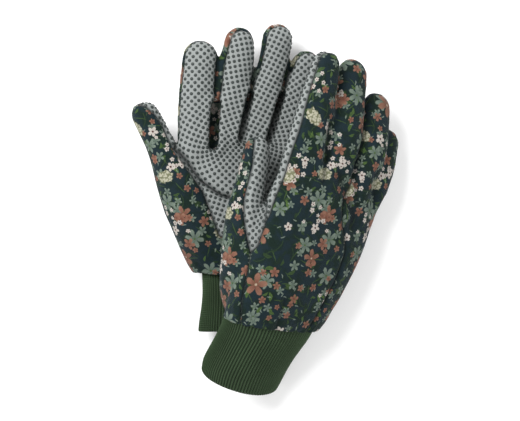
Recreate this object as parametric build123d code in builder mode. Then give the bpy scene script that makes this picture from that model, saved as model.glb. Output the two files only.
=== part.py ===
"""A pair of knit-cuff gardening gloves, lying one over the other.

Each glove is cut and sewn from six pieces of cloth: a printed back over the first two fingers, a
printed side panel over the last two, a dotted palm, a printed thumb back, a dotted thumb front and a
rib-knit cuff. Four overlocked seams hold them together on the inside. The left glove lies palm up on
the table. The right glove lies over it, back up and rolled towards its little finger, so that the rim
of its cuff rests on the table too. Millimetres, +Z up, origin at the bottom centre of the pair.
"""

import math
import os

from build123d import *

# Driving dimensions of the cloth
FABRIC = 1.2  # jersey thickness
CUFF_FABRIC = 2.2  # doubled rib knit
SEAM_HEIGHT = 1.5  # seam allowance that stands inside the glove
SEAM_HALF_THICKNESS = 0.8
CUFF_SEAM_LENGTH = 2.5  # along the hand

# Facets round each tube
FINGER_SIDES = 12
HAND_SIDES = 20

FINGER_HALF_WIDTH = 12.0
FINGER_HALF_THICKNESS = 9.6
LITTLE_FINGER = 3  # its place in the row of fingers
LITTLE_FINGER_SHARE = 0.9  # its size as a share of the others
FINGER_TAPER = 0.92  # tip size as a share of the base size
FINGER_ROOT = 20.0  # how far a finger tube starts inside the hand
ROUND_STEPS = (30, 58, 80)  # degrees round the dome of a fingertip

SIDE_SEAM_AT_WRIST = 0.7  # share of the half width at which the side seam reaches the cuff
SMALLEST_OFFCUT = 60.0  # cubic millimetres, below which an offcut of cloth is trimmed away

REACH = 110.0  # half size of the tools that divide one cloth from the next
WRIST_OVERRUN = 8.0  # how far an inner shape runs past an open end
RIBBON_OVERRUN = 40.0  # how far the ribbon between palm and back runs past the hand

# From the layout below to the bottom centre of the pair's bounding box
SHIFT = Vector(-3.3, -2.6, 0.0)

# Layout: points along each glove. Hand stations are (x, y, z, half width, half thickness), from the
# open end of the cuff to just past the knuckles. Fingers are (base, tip centre), index to little.
# Thumb stations are (x, y, z, radius), from the wrist to the tip centre.
LEFT = {
    "roll": 12.0,
    "palm_up": 1,
    "cuff": [(-9, -89, 9.5, 37, 8), (-9, -68, 11.5, 35, 9.5), (-9, -48, 14, 36, 12)],
    "hand": [
        (-9, -48, 14, 36, 12),
        (-9, -38, 15.5, 40, 15),
        (-10, -10, 17, 44, 17),
        (-12, 20, 18, 46, 16.5),
        (-14, 44, 19.5, 46, 13),
        (-14, 51, 20.5, 42, 9),
    ],
    "fingers": [
        ((-47, 45, 28), (-45, 111, 33)),
        ((-22, 47, 22), (-16, 120, 29)),
        ((-1, 47, 17.5), (12, 124, 23)),
        ((19, 44, 13), (34, 105, 15)),
    ],
    "thumb": [(-28, -44, 22, 15), (-50, 2, 28, 16), (-66, 31, 32, 12.5), (-84, 66, 34, 10.5)],
    "thumb_seam_angle": -47.0,
}
RIGHT = {
    "roll": 35.0,
    "palm_up": -1,
    "cuff": [(-14, -120, 26.5, 35, 15), (-3, -100, 34.5, 34, 15), (8, -80, 43, 36, 16)],
    "hand": [
        (8, -80, 43, 36, 16),
        (14, -71, 44.5, 42, 18),
        (32, -36, 46, 45, 18),
        (44, -2, 47, 46, 17),
        (57, 30, 48, 45, 13),
        (59, 36, 48, 41, 9),
    ],
    "fingers": [
        ((31, 33, 67), (45, 97, 64)),
        ((49, 29, 54), (64, 93, 45)),
        ((66, 24, 41), (82, 73, 31)),
        ((80, 15, 28), (92, 49, 18)),
    ],
    "thumb": [(-8, -72, 50, 15), (-9, -18, 56, 15), (-7, 14, 57, 11.5), (-3, 43, 55, 10)],
    "thumb_seam_angle": 0.0,
}


def vectors(rows):
    """The points at the start of rows of numbers."""
    return [Vector(*row[:3]) for row in rows]


def ellipse_corners(half_width, half_thickness, sides):
    """Corners of a polygon that stands for an ellipse, flat sides across the thickness."""
    step = 2 * math.pi / sides
    return [
        (half_width * math.cos((k + 0.5) * step), half_thickness * math.sin((k + 0.5) * step))
        for k in range(sides)
    ]


def lateral(roll):
    """Across the hand, from the thumb side down to the little finger's side."""
    angle = math.radians(roll)
    return Vector(math.cos(angle), 0, -math.sin(angle))


def across(direction, roll):
    """The part of the lateral direction that is square to the way a tube runs."""
    side = lateral(roll)
    along = direction.normalized()
    return (side - along * side.dot(along)).normalized()


def directions(points):
    """The way a chain of points runs at each of its points."""
    last = len(points) - 1
    return [(points[min(i + 1, last)] - points[max(i - 1, 0)]).normalized() for i in range(last + 1)]


def tube(stations, roll, sides):
    """A closed solid through stations of (point, direction, half width, half thickness)."""
    with BuildPart() as solid:
        for point, direction, half_width, half_thickness in stations:
            plane = Plane(origin=point, x_dir=across(direction, roll), z_dir=direction)
            with BuildSketch(plane):
                with BuildLine():
                    Polyline(*ellipse_corners(half_width, half_thickness, sides), close=True)
                make_face()
        loft(ruled=True)
    return solid.part


def hand_stations(rows, grow):
    """Stations along the hand or the cuff, grown by an offset."""
    points = vectors(rows)
    return [
        (point, way, half_width + grow, half_thickness + grow)
        for point, way, (*_, half_width, half_thickness) in zip(points, directions(points), rows)
    ]


def lengthened(stations, start, end):
    """The same stations, with the first and the last one moved outwards along the tube."""
    first, last = stations[0], stations[-1]
    return [
        (first[0] - first[1] * start, *first[1:]),
        *stations[1:-1],
        (last[0] + last[1] * end, *last[1:]),
    ]


def dome(tip, way, half_width, half_thickness):
    """Stations round the end of a finger, from its last full ring to near the top of the dome."""
    stations = []
    for angle in (0, *ROUND_STEPS):
        turn = math.radians(angle)
        centre = tip + way * half_width * math.sin(turn)
        stations.append((centre, way, half_width * math.cos(turn), half_thickness * math.cos(turn)))
    return stations


def finger_stations(base, tip, share, grow):
    """Stations of one finger, from inside the hand to the top of its dome."""
    base, tip = vectors((base, tip))
    way = (tip - base).normalized()
    wide, thick = FINGER_HALF_WIDTH * share, FINGER_HALF_THICKNESS * share
    return [
        (base - way * FINGER_ROOT, way, wide + grow, thick + grow),
        (base, way, wide + grow, thick + grow),
        *dome(tip, way, wide * FINGER_TAPER + grow, thick * FINGER_TAPER + grow),
    ]


def thumb_stations(rows, grow):
    """Stations of the thumb, from the wrist to the top of its dome."""
    points = vectors(rows)
    ways = directions(points)
    radii = [radius + grow for *_, radius in rows]
    stations = [(point, way, radius, radius) for point, way, radius in zip(points, ways, radii)]
    return stations[:-1] + dome(points[-1], ways[-1], radii[-1], radii[-1])


def table_space(height):
    """All the space above a height. A glove that lies on the table is flattened there."""
    with BuildPart() as space:
        with Locations((0, 0, height)):
            Box(4 * REACH, 4 * REACH, 2 * REACH, align=(Align.CENTER, Align.CENTER, Align.MIN))
    return space.part


def hand_fill(glove, grow):
    """The solid shape of hand and fingers, grown by an offset and flattened on the table."""
    past_wrist = WRIST_OVERRUN if grow < 0 else 0
    stations = lengthened(hand_stations(glove["hand"], grow), past_wrist, grow)
    with BuildPart() as fill:
        add(tube(stations, glove["roll"], HAND_SIDES))
        for number, (base, tip) in enumerate(glove["fingers"]):
            share = LITTLE_FINGER_SHARE if number == LITTLE_FINGER else 1.0
            add(tube(finger_stations(base, tip, share, grow), glove["roll"], FINGER_SIDES))
        add(table_space(-grow), mode=Mode.INTERSECT)
    return fill.part


def cuff_fill(glove, grow):
    """The solid shape of the cuff, grown by an offset, run on past the wrist and the open end."""
    past_rim = WRIST_OVERRUN if grow < 0 else 0
    stations = lengthened(hand_stations(glove["cuff"], grow), past_rim, WRIST_OVERRUN)
    with BuildPart() as fill:
        add(tube(stations, glove["roll"], HAND_SIDES))
        add(table_space(-grow), mode=Mode.INTERSECT)
    return fill.part


def wrist_slab(glove, length):
    """The space from the wrist seam on: towards the fingers, or towards the cuff if negative."""
    start, after = vectors(glove["hand"][:2])
    way = (after - start).normalized()
    with BuildPart() as slab:
        with BuildSketch(Plane(origin=start, x_dir=across(way, glove["roll"]), z_dir=way)):
            Rectangle(2 * REACH, 2 * REACH)
        extrude(amount=length)
    return slab.part


def palm_side(glove, low, high):
    """A ribbon along hand and fingers, from low to high on the palm side of their middle."""
    middle, ring = vectors(tip for _, tip in glove["fingers"][1:3])
    points = [*vectors(glove["hand"][1:5]), (middle + ring) / 2]
    points.insert(0, points[0] - (points[1] - points[0]).normalized() * RIBBON_OVERRUN)
    points.append(points[-1] + (points[-1] - points[-2]).normalized() * RIBBON_OVERRUN)
    with BuildPart() as ribbon:
        for point, way in zip(points, directions(points)):
            side = across(way, glove["roll"])
            palm = side.cross(way) * glove["palm_up"]
            centre = point + palm * (low + high) / 2
            with BuildSketch(Plane(origin=centre, x_dir=side, z_dir=way)):
                Rectangle(2 * REACH, high - low)
        loft(ruled=True)
    return ribbon.part


def outer_side(glove, shift):
    """The space over the last two fingers and the edge of the hand below them, moved across."""
    wrist, knuckles = vectors((glove["hand"][0], glove["hand"][3]))
    seam_at_wrist = glove["hand"][0][3] * SIDE_SEAM_AT_WRIST
    way = (knuckles - wrist).normalized()
    side = across(way, glove["roll"])
    plane = Plane(origin=wrist, x_dir=side, z_dir=side.cross(way))
    bases, tips = (sum(vectors(ends), Vector()) / 2 for ends in zip(*glove["fingers"][1:3]))
    fork, between_tips = plane.to_local_coords(bases), plane.to_local_coords(tips)
    beyond = between_tips + (between_tips - fork) / 2
    seam = [(seam_at_wrist, -RIBBON_OVERRUN), (seam_at_wrist, 0)]
    seam += [(point.X, point.Y) for point in (fork, between_tips, beyond)]
    corners = [(x + shift, y) for x, y in seam]
    with BuildPart() as space:
        with BuildSketch(plane):
            with BuildLine():
                Polyline(*corners, (2 * REACH, beyond.Y), (2 * REACH, -RIBBON_OVERRUN), close=True)
            make_face()
        extrude(amount=REACH, both=True)
    return space.part


def thumb_side(glove, low, high):
    """A slab along the thumb, from low to high on the dotted side of its seam."""
    start, *_, end = vectors(glove["thumb"])
    way = (end - start).normalized()
    angle = math.radians(glove["thumb_seam_angle"])
    facing = Vector(math.cos(angle), 0, math.sin(angle))
    facing = (facing - way * facing.dot(way)).normalized()
    with BuildPart() as slab:
        with BuildSketch(Plane(origin=start + facing * low, x_dir=way, z_dir=facing)):
            Rectangle(3 * REACH, 2 * REACH)
        extrude(amount=high - low)
    return slab.part


def without(solid, *others):
    """A solid with others taken out of it."""
    with BuildPart() as rest:
        add(solid)
        for other in others:
            add(other, mode=Mode.SUBTRACT)
    return rest.part


class Shapes:
    """The solids and spaces that one glove's pieces are cut from."""

    def __init__(self, glove):
        offsets = (0, -FABRIC, -FABRIC - SEAM_HEIGHT)
        self.hand, self.inside, self.core = (hand_fill(glove, grow) for grow in offsets)
        self.thumb, thumb_inside, thumb_core = (
            tube(thumb_stations(glove["thumb"], grow), glove["roll"], FINGER_SIDES) for grow in offsets
        )
        self.cuff, self.cuff_inside = cuff_fill(glove, 0), cuff_fill(glove, -CUFF_FABRIC)
        self.below_wrist = wrist_slab(glove, -2 * REACH)
        self.wrist = wrist_slab(glove, CUFF_SEAM_LENGTH)
        self.palm_side, self.dotted_side = palm_side(glove, 0, REACH), thumb_side(glove, 0, REACH)
        self.outer_side = outer_side(glove, 0)
        half = SEAM_HALF_THICKNESS
        self.edge_band, self.thumb_band = palm_side(glove, -half, half), thumb_side(glove, -half, half)
        self.side_band = without(outer_side(glove, -half), outer_side(glove, half))
        self.skin = without(self.hand, self.inside, thumb_inside)
        self.lining = without(self.inside, self.core, thumb_inside, self.below_wrist, self.wrist)
        self.thumb_skin = without(self.thumb, thumb_inside, self.hand, self.below_wrist)
        self.thumb_lining = without(thumb_inside, thumb_core, self.hand, self.below_wrist)


def palm_panel(shapes):
    """The dotted palm with the fronts of the four fingers."""
    with BuildPart() as panel:
        add(shapes.skin)
        add(shapes.palm_side, mode=Mode.INTERSECT)
    return panel.part


def back_panel(shapes):
    """The printed back over the first two fingers."""
    with BuildPart() as panel:
        add(shapes.skin)
        add(shapes.palm_side, mode=Mode.SUBTRACT)
        add(shapes.outer_side, mode=Mode.SUBTRACT)
    return panel.part


def side_panel(shapes):
    """The printed back over the last two fingers, down to the edge of the wrist."""
    with BuildPart() as panel:
        add(shapes.skin)
        add(shapes.palm_side, mode=Mode.SUBTRACT)
        add(shapes.outer_side, mode=Mode.INTERSECT)
    return panel.part


def thumb_front(shapes):
    """The dotted front of the thumb."""
    with BuildPart() as front:
        add(shapes.thumb_skin)
        add(shapes.dotted_side, mode=Mode.INTERSECT)
    return front.part


def thumb_back(shapes):
    """The printed back of the thumb."""
    with BuildPart() as back:
        add(shapes.thumb_skin)
        add(shapes.dotted_side, mode=Mode.SUBTRACT)
    return back.part


def cuff(shapes):
    """The rib-knit cuff, a tube that is open at both ends."""
    with BuildPart() as tube_of_rib:
        add(shapes.cuff)
        add(shapes.below_wrist, mode=Mode.INTERSECT)
        add(shapes.cuff_inside, mode=Mode.SUBTRACT)
    return tube_of_rib.part


def finger_seam(shapes):
    """The seam that runs round every finger and joins palm to back."""
    with BuildPart() as seam:
        add(shapes.lining)
        add(shapes.edge_band, mode=Mode.INTERSECT)
    return seam.part


def side_seam(shapes):
    """The seam down the back, between the back and the side panel."""
    with BuildPart() as seam:
        add(shapes.lining)
        add(shapes.side_band, mode=Mode.INTERSECT)
        add(shapes.edge_band, mode=Mode.SUBTRACT)
        add(shapes.palm_side, mode=Mode.SUBTRACT)
    return seam.part


def thumb_seam(shapes):
    """The seam round the thumb."""
    with BuildPart() as seam:
        add(shapes.thumb_lining)
        add(shapes.thumb_band, mode=Mode.INTERSECT)
    return seam.part


def cuff_seam(shapes):
    """The seam that joins the cuff to the hand."""
    with BuildPart() as seam:
        add(shapes.inside)
        add(shapes.core, mode=Mode.SUBTRACT)
        add(shapes.wrist, mode=Mode.INTERSECT)
        add(shapes.thumb, mode=Mode.SUBTRACT)
    return seam.part


def main():
    pieces = (
        palm_panel,
        back_panel,
        side_panel,
        thumb_front,
        thumb_back,
        cuff,
        finger_seam,
        side_seam,
        thumb_seam,
        cuff_seam,
    )
    os.makedirs("parts", exist_ok=True)
    for hand_name, glove in (("left", LEFT), ("right", RIGHT)):
        shapes = Shapes(glove)
        for piece in pieces:
            name = f"{hand_name}_{piece.__name__}"
            with BuildPart() as finished:
                whole = [solid for solid in piece(shapes).solids() if solid.volume > SMALLEST_OFFCUT]
                add([solid.moved(Location(SHIFT)) for solid in whole])
            finished.part.label = name
            export_step(finished.part, f"parts/{name}.step")


main()
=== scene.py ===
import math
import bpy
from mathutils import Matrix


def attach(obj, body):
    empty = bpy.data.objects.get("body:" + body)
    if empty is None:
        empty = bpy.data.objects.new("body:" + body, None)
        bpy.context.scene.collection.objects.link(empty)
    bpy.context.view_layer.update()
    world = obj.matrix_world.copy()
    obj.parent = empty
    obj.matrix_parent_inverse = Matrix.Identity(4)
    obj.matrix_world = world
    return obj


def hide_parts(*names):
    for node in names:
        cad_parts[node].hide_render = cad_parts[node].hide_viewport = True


bl_info = {
    "name": "Gardening Gloves",
    "version": (1, 0, 0),
    "blender": (4, 5, 0),
    "location": "View3D > Sidebar > Gloves",
    "description": "A sewn pair of printed jersey gardening gloves with grip dots and rib-knit cuffs",
    "category": "Object",
}

import bmesh
import bpy
import numpy as np
from bpy.props import FloatProperty, FloatVectorProperty, IntProperty, PointerProperty
from bpy.types import Operator, Panel, PropertyGroup
from mathutils import Vector, noise
from mathutils.bvhtree import BVHTree
from mathutils.geometry import barycentric_transform
from mathutils.kdtree import KDTree

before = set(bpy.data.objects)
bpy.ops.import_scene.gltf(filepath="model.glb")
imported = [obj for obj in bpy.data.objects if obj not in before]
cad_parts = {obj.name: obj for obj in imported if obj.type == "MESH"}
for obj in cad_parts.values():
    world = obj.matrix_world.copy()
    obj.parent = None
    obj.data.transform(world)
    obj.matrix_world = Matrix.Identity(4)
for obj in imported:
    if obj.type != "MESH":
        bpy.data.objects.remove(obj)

MM = 0.001
TABLE = 0.3  # the lowest that cloth comes to the table, mm
SEAM_INSIDE = 1.7  # how far inside the outer face a seam's thread runs, mm

# Layout in millimetres, before it is moved by ORIGIN to the bottom centre of the pair. A station of
# the hand, a finger, the thumb or the cuff is (x, y, z, half width, half thickness). The other lists:
#   seam_lift    for each finger, how far towards the palm its seam runs: thumb side, outer side
#   edge_lift    the same for the hand, with the length along it first
#   finger_gaps  where back cloth shows between two fingers: a line, and half its width
#   wrist        a point and the way of the plane at which the hand's cloth ends; rim: the cuff's end
#   thumb_edge   round the cloth of the thumb, and dotted_edge round its dotted part, seen from above
#   dotted_side  the side of the thumb that is dotted where it can't be seen from above
#   side_seam    length along the hand, and how far aside the seam down the back runs there
#   creases      a line, how deep it is folded in, and how wide
ORIGIN = np.array([-3.3, -2.6, 0.0])

LEFT = {
    "name": "left",
    "roll": 12.0,
    "palm_up": 1,
    "hand": [
        (-8.5, -56, 13.5, 35, 11),
        (-8.5, -48, 14, 37, 12.5),
        (-9, -38, 15.5, 40.5, 15),
        (-9.5, -22, 16.5, 43, 16.5),
        (-10.5, 0, 17.5, 45, 17),
        (-12, 22, 18, 46, 15.5),
        (-14, 42, 19.5, 46, 12),
        (-14, 48, 20, 44, 9),
    ],
    "fingers": [
        [
            (-47, 22, 25, 12, 9), (-46.8, 45, 28, 12.8, 10), (-45.3, 83, 32, 12.8, 10),
            (-43, 110, 33, 12.6, 9.5),
        ],
        [
            (-22, 22, 20, 11, 9), (-23.2, 46, 22.5, 11.4, 10), (-21.6, 66, 24.5, 11.4, 10),
            (-19.2, 87, 27, 12, 10), (-16.4, 107, 28.2, 12.2, 9.8), (-15, 121, 29, 10.8, 9.3),
        ],
        [
            (-5, 22, 16, 11, 9), (-2.3, 46.5, 17.5, 10.6, 9.6), (0.2, 66, 19.2, 10.8, 9.8),
            (5, 88, 21, 11, 10), (9.8, 107, 22, 11.2, 10), (12.8, 124.5, 23, 11.2, 9.5),
        ],
        [
            (14, 22, 12, 10, 8.5), (18.3, 45.5, 13, 10.8, 9), (27.1, 84, 14.5, 11, 9.3),
            (33.6, 106, 15, 10.8, 9),
        ],
    ],
    "seam_lift": [(2.0, 1.0), (7.0, 2.5), (5.0, 2.0), (4.5, 1.0)],
    "edge_lift": [(0, 2.0, 0.5)],
    "finger_gaps": [
        ([(-28.4, 112), (-30.6, 84), (-33, 60), (-33, 46)], 1.9),
        ([(0.4, 124), (-2.6, 107), (-6.6, 84), (-10.8, 65), (-13, 52)], 0.75),
        ([(22.5, 110), (16, 84), (10.5, 65), (7, 51)], 0.8),
    ],
    "thumb": [
        (-30, -52, 14, 9, 8.5),
        (-36, -38, 18, 15, 14),
        (-42.5, -22.5, 22, 16.5, 15.5),
        (-49, -7, 25.5, 17, 16),
        (-56, 11, 28.5, 16, 15),
        (-63.4, 28, 31, 13, 12.5),
        (-72, 47, 33, 10.4, 10.2),
        (-82.4, 68, 34, 9.7, 9.5),
    ],
    "wrist": ((-9, -48, 14), (0.08, 1.0, 0.0)),
    "thumb_edge": [
        (-60.3, 46.5), (-50.3, 32.7), (-42, 21), (-28, 11.4), (-16, 8), (-14, -20), (-26, -60),
        (-90, -60), (-110, 90), (-66, 90),
    ],
    "dotted_edge": [
        (-92, 84), (-86.5, 76), (-81, 74), (-75, 69), (-69, 60.5), (-65, 51), (-62.4, 45.4), (-52.8, 31.6),
        (-44.6, 19.4), (-41, 14), (-28.7, -19), (0, -19), (0, 90),
    ],
    "dotted_side": (0.7, -0.35, -0.6),
    "side_seam": [(0, 24), (60, 20), (84, 12), (98, 4)],
    "cuff": [
        (-8.5, -45, 14, 34.5, 11), (-9, -56, 12.8, 34, 10.6), (-9, -73, 10.8, 35, 9),
        (-9, -87.5, 9.3, 36.5, 7.4),
    ],
    "rim": (0.0, 1.0, 0.0),
    "creases": [
        ([(-60, 45), (-50, 32), (-41, 19.5), (-28, 11), (-16, 7.6)], 2.4, 1.9),
        ([(-31.6, 76), (-33.2, 60), (-33.4, 47)], 6.0, 2.6),
        ([(-6.6, 84), (-10.8, 65), (-13, 52)], 4.5, 1.9),
        ([(16, 84), (10.5, 65), (7, 51)], 4.5, 1.9),
        ([(-52, -30), (-40, -44)], 0.8, 3.0),
    ],
}
RIGHT = {
    "name": "right",
    "roll": 35.0,
    "palm_up": -1,
    "hand": [
        (0, -95, 39.5, 36.5, 15.4),
        (6.8, -79, 43, 39.3, 16.5),
        (11.5, -70, 44.4, 42.4, 18),
        (20, -55, 45.3, 43.5, 18.5),
        (31, -33, 46, 45, 18),
        (41, -6, 47, 46, 17),
        (49, 14, 47.5, 46, 15),
        (56, 29, 48, 44, 12),
    ],
    "fingers": [
        [
            (22.8, 8, 64, 13.4, 10), (28, 30, 67, 15.8, 10.8), (34.8, 52, 68, 15.4, 10.8),
            (41.8, 84, 66.5, 12.4, 10), (45, 100, 65, 10.2, 9),
        ],
        [
            (43, 3, 52, 12, 10), (51.9, 27, 55, 12.8, 10.5), (59, 53, 54, 13, 10.5),
            (63.3, 82, 49, 12, 10), (65, 95.5, 46, 11.2, 9.5),
        ],
        [
            (58, -4, 42, 12, 10), (68.3, 16, 41.5, 12.4, 10), (78.4, 43, 40, 12.2, 10),
            (83.2, 73.5, 32, 11.2, 9.5),
        ],
        [
            (65, -12, 31, 11, 9), (75.5, 5, 28.5, 11.4, 9.5), (84.6, 25, 27, 11.2, 9.5),
            (91, 50, 19.5, 10.2, 9),
        ],
    ],
    "seam_lift": [(-3.4, 1.0), (5.0, 1.0), (5.0, 1.0), (5.0, 0.0)],
    "edge_lift": [(0, 7.0, 0.0), (74, 7.0, 0.0), (90, -3.4, 0.0)],
    "finger_gaps": [],
    "thumb": [
        (-10.5, -84, 47.5, 8, 8),
        (-13.4, -63, 48.8, 14, 13.6),
        (-12.6, -45, 52, 15.8, 15),
        (-11.4, -24, 55, 15.6, 15),
        (-10.6, -6.5, 57, 14, 13.5),
        (-8.6, 8.5, 57.5, 12.2, 12),
        (-5.7, 22, 57, 11, 10.8),
        (-3.4, 34, 56, 10, 9.8),
        (-2.4, 43, 55, 8.6, 8.6),
    ],
    "wrist": ((8, -80, 43), (0.26, 0.92, 0.15)),
    "thumb_edge": [
        (3.5, 3.8), (2.1, -10), (-2.8, -23.8), (-6.9, -28.6), (-9, -41), (-13, -62), (-14, -95),
        (-70, -95), (-70, 80), (14, 80), (14, 50), (8, 25),
    ],
    "dotted_edge": [
        (-3.5, 70), (-4, 52), (-4.6, 43), (-5.2, 32), (-8.2, 20), (-11.2, 8), (-11.2, -5), (-9.4, -16),
        (-6.9, -29), (0, -29), (30, 0), (30, 70),
    ],
    "dotted_side": (0.85, 0.0, -0.5),
    "side_seam": [(0, 25), (30, 22), (82, 21), (98, 14), (112, 4)],
    "cuff": [
        (7.8, -76, 43.8, 38.2, 15.6), (3.6, -86, 41, 37.4, 15.3), (-3.8, -99, 36.5, 37.2, 15.2),
        (-10.5, -112, 30.5, 38, 15.5), (-13.6, -120, 27.5, 38.4, 16),
    ],
    "rim": (0.6, 0.69, 0.4),
    "creases": [
        ([(55.5, 25), (61, 10), (68, -4), (66, -12)], 2.2, 4.0),
        ([(49, 60), (47, 40), (45, 26), (44, 20)], 2.0, 2.4),
        ([(68.5, 32), (66.5, 24), (69.5, 3)], 1.6, 2.4),
        ([(83, 28), (81.5, 20), (82.5, 5)], 1.4, 2.4),
        ([(4, 4), (2, -10), (-3, -24)], 1.0, 3.0),
        ([(16.9, -62), (16, -68), (11.4, -84)], 1.2, 1.6),
    ],
}
GLOVES = (LEFT, RIGHT)

PALM, BACK, SIDE, THUMB_FRONT, THUMB_BACK = range(5)
PANELS = {
    PALM: "palm_panel",
    BACK: "back_panel",
    SIDE: "side_panel",
    THUMB_FRONT: "thumb_front",
    THUMB_BACK: "thumb_back",
}
DOTTED = (PALM, THUMB_FRONT)
THUMB = {THUMB_FRONT, THUMB_BACK}
SEAMS = ("finger_seam", "side_seam", "thumb_seam", "cuff_seam")
SEAM_LINES = {}  # filled by the hand panels, for the seams

HAND_POWER = 2.4  # how boxy the hand's section is; 2 is an ellipse
FINGER_POWER = 2.1
RIM_POWER = 2.0
DOME_ANGLES = (15, 30, 45, 60, 72, 82)  # rings of a fingertip
BLEND = 2.5  # how far the seams of hand and fingers run into each other, mm
OUTER = 9.0  # how far past the side seam a whole finger counts, mm
UNDER_THUMB = 3.0  # how far the thumb's cloth runs round the hand's underside, mm
FAR = 100.0  # further than any seam is from a point, mm
SNAP = 0.12  # a cut this near the end of an edge, as a share of it, moves the end instead
ISLAND_ROUNDS = 5

CREASE_BULGE, BULGE_AT = 0.25, 2.2  # the ridge beside a fold: share of its depth, place in its widths
PUCKER = 0.0032  # size of the puckers along a seam, m
SHOULDER_AT, SHOULDER_WIDTH = 2.6, 1.4  # the swell beside a seam, in widths of the seam
SOFT_WAVES = ((0.03, 0.0009, Vector()), (0.012, 0.00035, Vector((7, 3, 1))))  # size and depth, m
GATHERS, GATHER_DEPTH = 30, 0.0003  # folds at the wrist, and their depth, m
GATHER_REACH = 9.0  # how far they run up the hand, mm
GATHER_DRIFT = 0.012  # size of their bends, m
SEAM_SHADE = 0.0011  # half the width of the painted shade line in a seam, m
ROUNDER = 2.2  # stretches the hand's section until it is about round, so that gathers are even

LEAST_FILL = 0.35  # the least share of its rectangle that a nested pattern fills
UNWRAP_ROUNDS = 12
CUFF_ROWS, RIB_COLUMNS = 40, 6
DOT_EDGE = 0.12  # how much of its width a dot keeps from the edge of its cloth
DOME = ((1.0, -0.3), (0.94, 0.45), (0.66, 0.86))  # share of the radius, and of the height

CAMERA_HEIGHT, LENS, SENSOR = 0.9, 83.6, 36.0
LIGHTS = (("key", (-0.55, 0.5, 0.95), 0.6, 16.0), ("fill", (0.6, -0.3, 0.9), 0.9, 4.0))
FLOOR_HALF = 2.0
SKY = 0.65
PAPER_GLOW = 0.14

# The colour of the painted shade in the seams' grooves and in the folds.
PAINTED_SHADE_COLOUR = (0.006, 0.009, 0.009)
BLOSSOM_SHADE = (0.2, 0.2, 0.13)
BLOSSOM_GREEN = (0.1, 0.11, 0.055)
# The print's flowers, the lowest first: cell, offset, size, petals, fullness, depth, heart, coverage,
# gather, then the colours of petals, heart and base, and how far the petals' own colour comes in.
FLOWERS = (
    (0.026, (5.5, 3.5), 0.26, 6, 0.8, 0.82, 0.16, 0.6, 0.0, "mint", "leaf", "deep_mint", 0.8),
    (0.0135, (1.7, 9.1), 0.27, 5, 0.9, 0.85, 0.12, 0.5, 0.0, "mint", "deep_mint", "deep_mint", 0.8),
    (0.011, (4.1, 5.9), 0.27, 5, 0.9, 0.85, 0.12, 0.25, 0.0, "mint", "deep_mint", "deep_mint", 0.7),
    (0.034, (2.2, 6.4), 0.22, 5, 0.75, 0.85, 0.14, 0.65, 0.0, "coral", "cream_heart", "deep_coral", 0.95),
    (0.0175, (3.6, 8.3), 0.24, 5, 0.6, 0.8, 0.24, 0.3, 0.0, "coral", "deep_coral", "deep_coral", 1.0),
    (0.0105, (7.9, 0.6), 0.25, 5, 0.6, 0.7, 0.25, 0.3, 0.0, "coral", "deep_coral", "deep_coral", 1.0),
    (0.0115, (8.8, 4.1), 0.32, 5, 0.6, 0.7, 0.26, 0.6, 0.56, "white", "heart", "white", 0.3),
    (0.0058, (3.9, 2.2), 0.31, 5, 0.6, 0.6, 0.28, 0.7, 0.58, "white", "heart", "white", 0.3),
)


class GlovesCloth(PropertyGroup):
    """Sizes of the cloth and its seams."""

    grid: FloatProperty(
        name="Grid", description="Size of the faces the hand is made of", default=0.0016, unit="LENGTH"
    )
    thickness: FloatProperty(
        name="Jersey thickness", description="Thickness of the jersey", default=0.001, unit="LENGTH"
    )
    groove: FloatProperty(
        name="Seam groove", description="How deep a seam draws the cloth in", default=0.0012, unit="LENGTH"
    )
    groove_width: FloatProperty(
        name="Seam width", description="How far aside a seam draws the cloth", default=0.0016, unit="LENGTH"
    )
    seam_thread: FloatProperty(
        name="Seam thread", description="Half the width of its thread", default=0.0006, unit="LENGTH"
    )


class GlovesDots(PropertyGroup):
    """Sizes of the grip dots."""

    spacing: FloatProperty(
        name="Spacing", description="From dot to dot along a diagonal row", default=0.0036, unit="LENGTH"
    )
    width: FloatProperty(name="Width", description="Width of a dot", default=0.0025, unit="LENGTH")
    height: FloatProperty(name="Height", description="Height of a dot", default=0.00055, unit="LENGTH")
    sides: IntProperty(name="Sides", description="Facets round a dot", default=10, min=6)


class GlovesCuff(PropertyGroup):
    """Sizes of the rib-knit cuffs."""

    ribs: IntProperty(name="Ribs", description="Ribs round a cuff", default=84, min=20)
    rib_depth: FloatProperty(
        name="Rib depth", description="Height of a rib above its groove", default=0.0011, unit="LENGTH"
    )
    thickness: FloatProperty(
        name="Thickness", description="Thickness of the doubled knit", default=0.0022, unit="LENGTH"
    )


def colour_property(name, description, value):
    return FloatVectorProperty(
        name=name, description=description, subtype="COLOR", size=3, min=0, max=1, default=value
    )


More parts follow.
